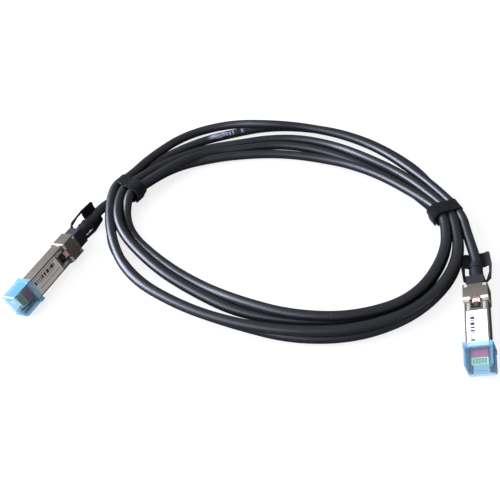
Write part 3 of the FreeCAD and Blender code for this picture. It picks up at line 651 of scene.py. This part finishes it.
def extrudeAlong(shape, firstRow, rows, looped):
    # draws the first row's edges out through the other rows' places, and gives the first and the last row's
    # edges; a looped row is a closed profile
    verts = [shape.verts.new(spot) for spot in firstRow]
    edges = [shape.edges.new((one, other)) for one, other in zip(verts, verts[1:])]
    if looped:
        edges.append(shape.edges.new((verts[-1], verts[0])))
    started = list(edges)
    for row in rows:
        index = {vert: k for k, vert in enumerate(verts)}
        grown = bmesh.ops.extrude_edge_only(shape, edges=edges)["geom"]
        fresh = [item for item in grown if isinstance(item, bmesh.types.BMVert)]
        edges = [item for item in grown if isinstance(item, bmesh.types.BMEdge)]
        follower = {}
        for vert in fresh:
            ends = [edge.other_vert(vert) for edge in vert.link_edges]
            parent = next(end for end in ends if end in index)
            follower[index[parent]] = vert
        verts = [follower[k] for k in range(len(row))]
        for vert, spot in zip(verts, row):
            vert.co = spot
    return started, edges


def addRibbon(shape, place, line, lifts, widths, closed, chance):
    # a strap along a line; lifts raise each station, widths set its half width
    sheet = tieSizes["sheet"]
    seam = sheet * tieSizes["seam"]
    rows = []
    for (across, up, angle), lift, half in zip(line, lifts, widths):
        row = []
        frayed = chance.uniform(-tieSizes["fray"], tieSizes["fray"])
        for along, level in ((-half, 0.0), (-half, sheet), (-half * 0.5, seam), (0.0, sheet),
                             (half * 0.5, seam), (half, sheet), (half, 0.0), (0.0, 0.0)):
            reach = lift + level
            edge = frayed if abs(along) == half else 0.0
            height = max(up + math.sin(angle) * reach, tieSizes["lowest"])
            row.append(place @ Vector((along + edge, across + math.cos(angle) * reach, height)))
        rows.append(row)
    firstEdges, lastEdges = extrudeAlong(shape, rows[0], rows[1:], True)
    if closed:
        bmesh.ops.bridge_loops(shape, edges=firstEdges + lastEdges)
    else:
        bmesh.ops.contextual_create(shape, geom=firstEdges)
        bmesh.ops.contextual_create(shape, geom=lastEdges)


def lapLine(line):
    # from the middle of the top over the inner strand and down the inner side
    top, topHalf = tieSizes["top"], tieSizes["topHalf"]
    onTop = [spot for spot in line if spot[1] > top and abs(spot[0]) < topHalf]
    onTop.sort(key=lambda spot: spot[0])
    overTop = onTop[int(len(onTop) * tieSizes["lapStart"]):]
    innerSide = [spot for spot in line
                 if spot[0] >= topHalf or (spot[0] > 0 and spot[1] <= top + tieSizes["strand"])]
    downInner = [spot for spot in innerSide if spot not in overTop and spot[1] > tieSizes["lapEnd"]]
    return overTop + sorted(downInner, key=lambda spot: -spot[1])


def makeTie(side, chance):
    place = Matrix.Scale(mm, 4) @ Matrix.Translation(layoutShift / mm) @ tieFrame(side)
    sheet, half = tieSizes["sheet"], tieSizes["width"] / 2
    shape = bmesh.new()
    line = roundTheBundle(tieSizes["strand"])
    addRibbon(shape, place, line, [0.0] * len(line), [half] * len(line), True, chance)
    lap = lapLine(line)
    already, stations = tieSizes["lapRise"]
    lifts = [sheet * min(1.0, (k + already) / stations) for k in range(len(lap))]
    for back, extra in enumerate(tieSizes["tipLifts"], start=1):
        lifts[-back] += extra
    widths = [half - tieSizes["lapInset"]] * len(lap)
    for back, share in enumerate(tieSizes["tipWidths"], start=1):
        widths[-back] = half * share
    addRibbon(shape, place, lap, lifts, widths, False, chance)
    bmesh.ops.recalc_face_normals(shape, faces=shape.faces)
    finishPiece("strap_" + side, shape, "root", fabric, nodes=("tie_" + side,),
                sharp=50.0)
    onLap = [(spot, sheet + lift) for spot, lift in zip(lap, lifts)]
    growPile(side, place, [(spot, sheet) for spot in line] + onLap * 2, chance)
    if side == "left":
        sewEdge(place, line, chance)


def growPile(side, place, feet, chance):
    # loose loops and ends of yarn that stand off the strap
    half = tieSizes["width"] / 2
    shape = bmesh.new()
    for index in range(tieSizes["fibres"]):
        (across, up, angle), lift = chance.choice(feet)
        out = Vector((0, math.cos(angle), math.sin(angle)))
        slide = Vector((0, -math.sin(angle), math.cos(angle))) * chance.uniform(-0.7, 0.7)
        onEdge = chance.random() < tieSizes["edgeFibres"]
        along = chance.choice([-half, half]) if onEdge else chance.uniform(-half, half)
        foot = Vector((along, across, up)) + out * (lift * (chance.random() if onEdge else 1.0)) + slide
        lean = Vector((chance.uniform(-1, 1), chance.uniform(-0.7, 0.7), chance.uniform(-0.7, 0.7)))
        lean += out * 0.5
        if onEdge:
            lean.x = (abs(lean.x) + 0.3) * (1 if along > 0 else -1)
        tip = foot + lean.normalized() * chance.uniform(*tieSizes["fibre"])
        breadth = lean.cross(out).normalized() * tieSizes["fibreWidth"]
        if min(tip.z, foot.z) < tieSizes["fibreLowest"]:
            continue
        shape.faces.new([shape.verts.new(place @ spot) for spot in (foot + breadth, foot - breadth, tip)])
    finishPiece("pile_" + side, shape, "root", yarn)


def sewEdge(place, line, chance):
    # pale stitches along the left tie's front edge, over the top and down both sides
    stitch = tieSizes["stitch"]
    shape = bmesh.new()
    half, reach = tieSizes["width"] / 2 - stitch["inset"], tieSizes["sheet"] + stitch["lift"]
    for across, up, angle in line:
        if up < stitch["lowest"] or chance.random() < stitch["missing"]:
            continue
        out = Vector((0, math.cos(angle), math.sin(angle)))
        along = half + chance.uniform(-stitch["jitter"], stitch["jitter"])
        middle = Vector((along, across, up)) + out * reach
        turn = Matrix.Rotation(angle - math.pi / 2, 4, "X")
        size = Matrix.Diagonal((stitch["width"], chance.uniform(*stitch["length"]), stitch["height"], 1))
        bmesh.ops.create_cube(shape, size=1.0, matrix=place @ Matrix.Translation(middle) @ turn @ size)
    bmesh.ops.bevel(shape, geom=list(shape.edges), offset=stitch["round"] * mm, offset_type="OFFSET",
                    segments=1, profile=0.5, affect="EDGES", material=-1)
    finishPiece("stitches", shape, "root", thread)


def loopFabric():
    # brushed nylon loops: deep black with a soft grey bloom on the raised yarn
    material, tree, shader = newMaterial("brushedNylonLoops", {
        "Base Color": hexColor("#0d0d0f"), "Specular IOR Level": 0.1, "Sheen Weight": 0.06,
        "Sheen Roughness": 0.5})
    addGrain(tree, shader, {"size": 0.45, "gloss": (0.8, 0.95), "relief": 0.35})
    return material


def yarnFibre():
    # loose black nylon, a little glossier than the cloth
    return newMaterial("looseNylonYarn", {
        "Base Color": hexColor("#1c1c1f"), "Roughness": 0.7, "Specular IOR Level": 0.2})[0]


def paleThread():
    # off-white polyester thread, dull
    return newMaterial("paleThread", {"Base Color": hexColor("#9fa2a8"), "Roughness": 0.8})[0]


fabric, yarn, thread = loopFabric(), yarnFibre(), paleThread()
for side, seed in tieSizes["seeds"].items():
    makeTie(side, random.Random(seed))
print("stage: ties made")

# print: a worn silver strip with plain bars on the jacket, on the strand that runs second at the back
printSizes = {
    "first": 8.7, "last": 10.15,          # along the route's points
    "stations": 60,
    "spread": 62.0,                      # degrees to each side of the line that faces up and forward
    "steps": 5,                          # on each side
    "forward": 0.55,                     # how far forward that line leans, as a share of up
    "lift": 0.03,
    "reach": 20.5,                       # half its length, millimetres
    "foil": "#7f8598",
    "smear": (0.16, 0.85, 1.0),          # the worn pattern's scale along and across the strip
    "barPitch": 0.8,                     # bars to a millimetre
    "barsFrom": (15.0, 19.0),            # along the strip, where the bars begin
}


def alongRoute(place):
    # the cable's quadratic curve between its route points
    k = int(place)
    t = place - k
    before, here, after = route[k - 1], route[k], route[k + 1]
    spot = before * (0.5 * (1 - t) ** 2) + here * (0.5 + t - t * t) + after * (0.5 * t * t)
    way = (here - before) * (1 - t) + (after - here) * t
    return spot, way.normalized()


def silverPrint():
    # hot-stamped silver foil: a rubbed smear first, then plain bars, worn so that the jacket shows through
    material, tree, shader = newMaterial("rubbedSilverFoil", {"Roughness": 0.36, "Specular IOR Level": 0.95})
    place = addNode(tree, "ShaderNodeUVMap", {"uv_map": "print"}).outputs[0]
    along, across = addNode(tree, "ShaderNodeSeparateXYZ", {}, {0: place}).outputs[:2]
    stretched = addNode(tree, "ShaderNodeVectorMath", {"operation": "MULTIPLY", 1: printSizes["smear"]},
                        {0: place})
    smear = addNode(tree, "ShaderNodeTexNoise", {"Scale": 1.0, "Detail": 4.0, "Roughness": 0.6},
                    {"Vector": stretched.outputs[0]})
    # bars of uneven width across the strand
    whole = calc(tree, "FLOOR", calc(tree, "MULTIPLY", along, printSizes["barPitch"]))
    chosen = addNode(tree, "ShaderNodeTexWhiteNoise", {"noise_dimensions": "1D"}, {"W": whole})
    bar = remap(tree, chosen.outputs["Value"], 0.35, 0.75, -0.22, 0.04)
    inBars = calc(tree, "MULTIPLY", bar, remap(tree, along, *printSizes["barsFrom"]))
    # the foil thins out at its long edges and at both ends
    thin = remap(tree, calc(tree, "ABSOLUTE", across), 1.2, 2.9, 0.06, -0.3)
    taper = remap(tree, calc(tree, "PINGPONG", along, printSizes["reach"]), 0.0, 7.0, -0.35, 0.0)
    amount = calc(tree, "ADD", smear.outputs[0], inBars)
    for change in (thin, taper):
        amount = calc(tree, "ADD", amount, change)
    color = mixColors(tree, remap(tree, amount, 0.38, 0.62), jacketLooks["color"], printSizes["foil"])
    tree.links.new(color, shader.inputs["Base Color"])
    return material


def makePrint():
    shape = bmesh.new()
    marks = shape.loops.layers.uv.new("print")
    radius = (cableSizes["diameter"] / 2 + printSizes["lift"]) * mm
    steps = printSizes["steps"]
    rows, flat, gone, last = [], [], 0.0, None
    for k in range(printSizes["stations"] + 1):
        share = k / printSizes["stations"]
        spot, way = alongRoute(printSizes["first"] + (printSizes["last"] - printSizes["first"]) * share)
        gone += (spot - last).length / mm if last else 0.0
        last = spot
        up = Vector((0, -printSizes["forward"], 1))
        up = (up - way * up.dot(way)).normalized()
        side = way.cross(up)
        turns = [math.radians(printSizes["spread"]) * (step / steps - 1) for step in range(2 * steps + 1)]
        rows.append([spot + (up * math.cos(turn) + side * math.sin(turn)) * radius for turn in turns])
        flat += [(place, (gone, turn * radius / mm)) for place, turn in zip(rows[-1], turns)]
    extrudeAlong(shape, rows[0], rows[1:], False)
    # each corner takes its distance along and across the strip, in millimetres
    tree = KDTree(len(flat))
    for index, (place, mark) in enumerate(flat):
        tree.insert(place, index)
    tree.balance()
    for face in shape.faces:
        for loop in face.loops:
            loop[marks].uv = flat[tree.find(loop.vert.co)[1]][1]
    bmesh.ops.recalc_face_normals(shape, faces=shape.faces)
    finishPiece("jacketPrint", shape, "root", silverPrint())


makePrint()
print("stage: jacket printed")

# camera: the photograph looks down at the coil from in front
cameraSizes = {
    "place": (-20.0, -295.0, 309.63),          # millimetres, from the middle of the coil
    "pitch": 50.44,                            # degrees below the horizon
    "lens": 43.2,
    "sensor": 36.0,
}
cameraData = bpy.data.cameras.new("camera")
cameraData.lens = cameraSizes["lens"]
cameraData.sensor_width = cameraSizes["sensor"]
cameraData.clip_start = 0.01
camera = bpy.data.objects.new("camera", cameraData)
camera.location = layoutPoint(*cameraSizes["place"])
camera.rotation_euler = (math.radians(90 - cameraSizes["pitch"]), 0, 0)
bpy.context.scene.collection.objects.link(camera)
bpy.context.scene.camera = camera

# studio: a pale table, a long bright window on the left, a weaker lamp at the front left and a soft one above
studio = {
    "floorSize": 3.0,                          # metres
    "floorColor": "#f4f4f3",
    "floorMirrored": "#4a4b50",                # what polished pieces mirror of the table
    "seenShare": 0.8,                          # how much of the table is plain white to the eye
    "lamps": {
        "windowLamp": {"place": (-1.15, 0.1, 0.6), "size": (1.3, 0.85), "power": 60.0, "color": "#dfe8ff",
                       "mirrored": True},
        "frontLamp": {"place": (-0.62, -0.78, 0.95), "size": (1.3, 1.0), "power": 9.0, "color": "#e9efff",
                      "mirrored": True},
        "skyLamp": {"place": (-0.4, 0.35, 1.4), "size": (1.3, 1.1), "power": 15.0, "color": "#ffffff",
                    "mirrored": False},
    },
    "roomStrength": 0.26,
    "roomMirrored": 0.22,
}


def makeFloor():
    shape = bmesh.new()
    bmesh.ops.create_grid(shape, x_segments=1, y_segments=1, size=studio["floorSize"] / 2)
    mesh = bpy.data.meshes.new("floor")
    shape.to_mesh(mesh)
    shape.free()
    floor = bpy.data.objects.new("floor", mesh)
    bpy.context.scene.collection.objects.link(floor)
    material, tree, shader = newMaterial("paintedTable", {"Roughness": 0.9, "Specular IOR Level": 0.1})
    # the eye sees the table as plain white that still takes the object's soft shadow; pieces mirror it darker
    path = addNode(tree, "ShaderNodeLightPath")
    tint = mixColors(tree, path.outputs["Is Glossy Ray"], studio["floorColor"], studio["floorMirrored"])
    tree.links.new(tint, shader.inputs["Base Color"])
    seen = calc(tree, "MULTIPLY", path.outputs["Is Camera Ray"], studio["seenShare"])
    white = addNode(tree, "ShaderNodeEmission", {"Color": (1, 1, 1, 1), "Strength": 1.0})
    mixed = addNode(tree, "ShaderNodeMixShader", {}, {
        0: seen, 1: shader.outputs[0], 2: white.outputs[0]})
    output = next(n for n in tree.nodes if n.type == "OUTPUT_MATERIAL")
    tree.links.new(mixed.outputs[0], output.inputs["Surface"])
    mesh.materials.append(material)


def makeLamps():
    middle = Vector((0, 0, 0))
    for name, lamp in studio["lamps"].items():
        data = bpy.data.lights.new(name, "AREA")
        data.shape = "RECTANGLE"
        data.size, data.size_y = lamp["size"]
        data.energy = lamp["power"]
        data.color = hexColor(lamp["color"])[:3]
        made = bpy.data.objects.new(name, data)
        made.location = lamp["place"]
        made.visible_glossy = lamp["mirrored"]
        made.rotation_euler = (middle - made.location).to_track_quat("-Z", "Y").to_euler()
        bpy.context.scene.collection.objects.link(made)


def makeWorld():
    world = bpy.data.worlds.new("studioRoom")
    world.use_nodes = True
    tree = world.node_tree
    plain = next(n for n in tree.nodes if n.type == "BACKGROUND")
    plain.inputs["Color"].default_value = (1, 1, 1, 1)
    path = addNode(tree, "ShaderNodeLightPath")
    strengths = (studio["roomStrength"], studio["roomMirrored"])
    level = remap(tree, path.outputs["Is Glossy Ray"], 0.0, 1.0, *strengths)
    tree.links.new(level, plain.inputs["Strength"])
    white = addNode(tree, "ShaderNodeBackground", {"Color": (1, 1, 1, 1), "Strength": 1.0})
    mixed = addNode(tree, "ShaderNodeMixShader", {}, {
        0: path.outputs["Is Camera Ray"], 1: plain.outputs[0], 2: white.outputs[0]})
    output = next(n for n in tree.nodes if n.type == "OUTPUT_WORLD")
    tree.links.new(mixed.outputs[0], output.inputs["Surface"])
    bpy.context.scene.world = world


makeFloor()
makeLamps()
makeWorld()
bpy.context.scene.view_settings.view_transform = "Standard"
print("stage: studio set")
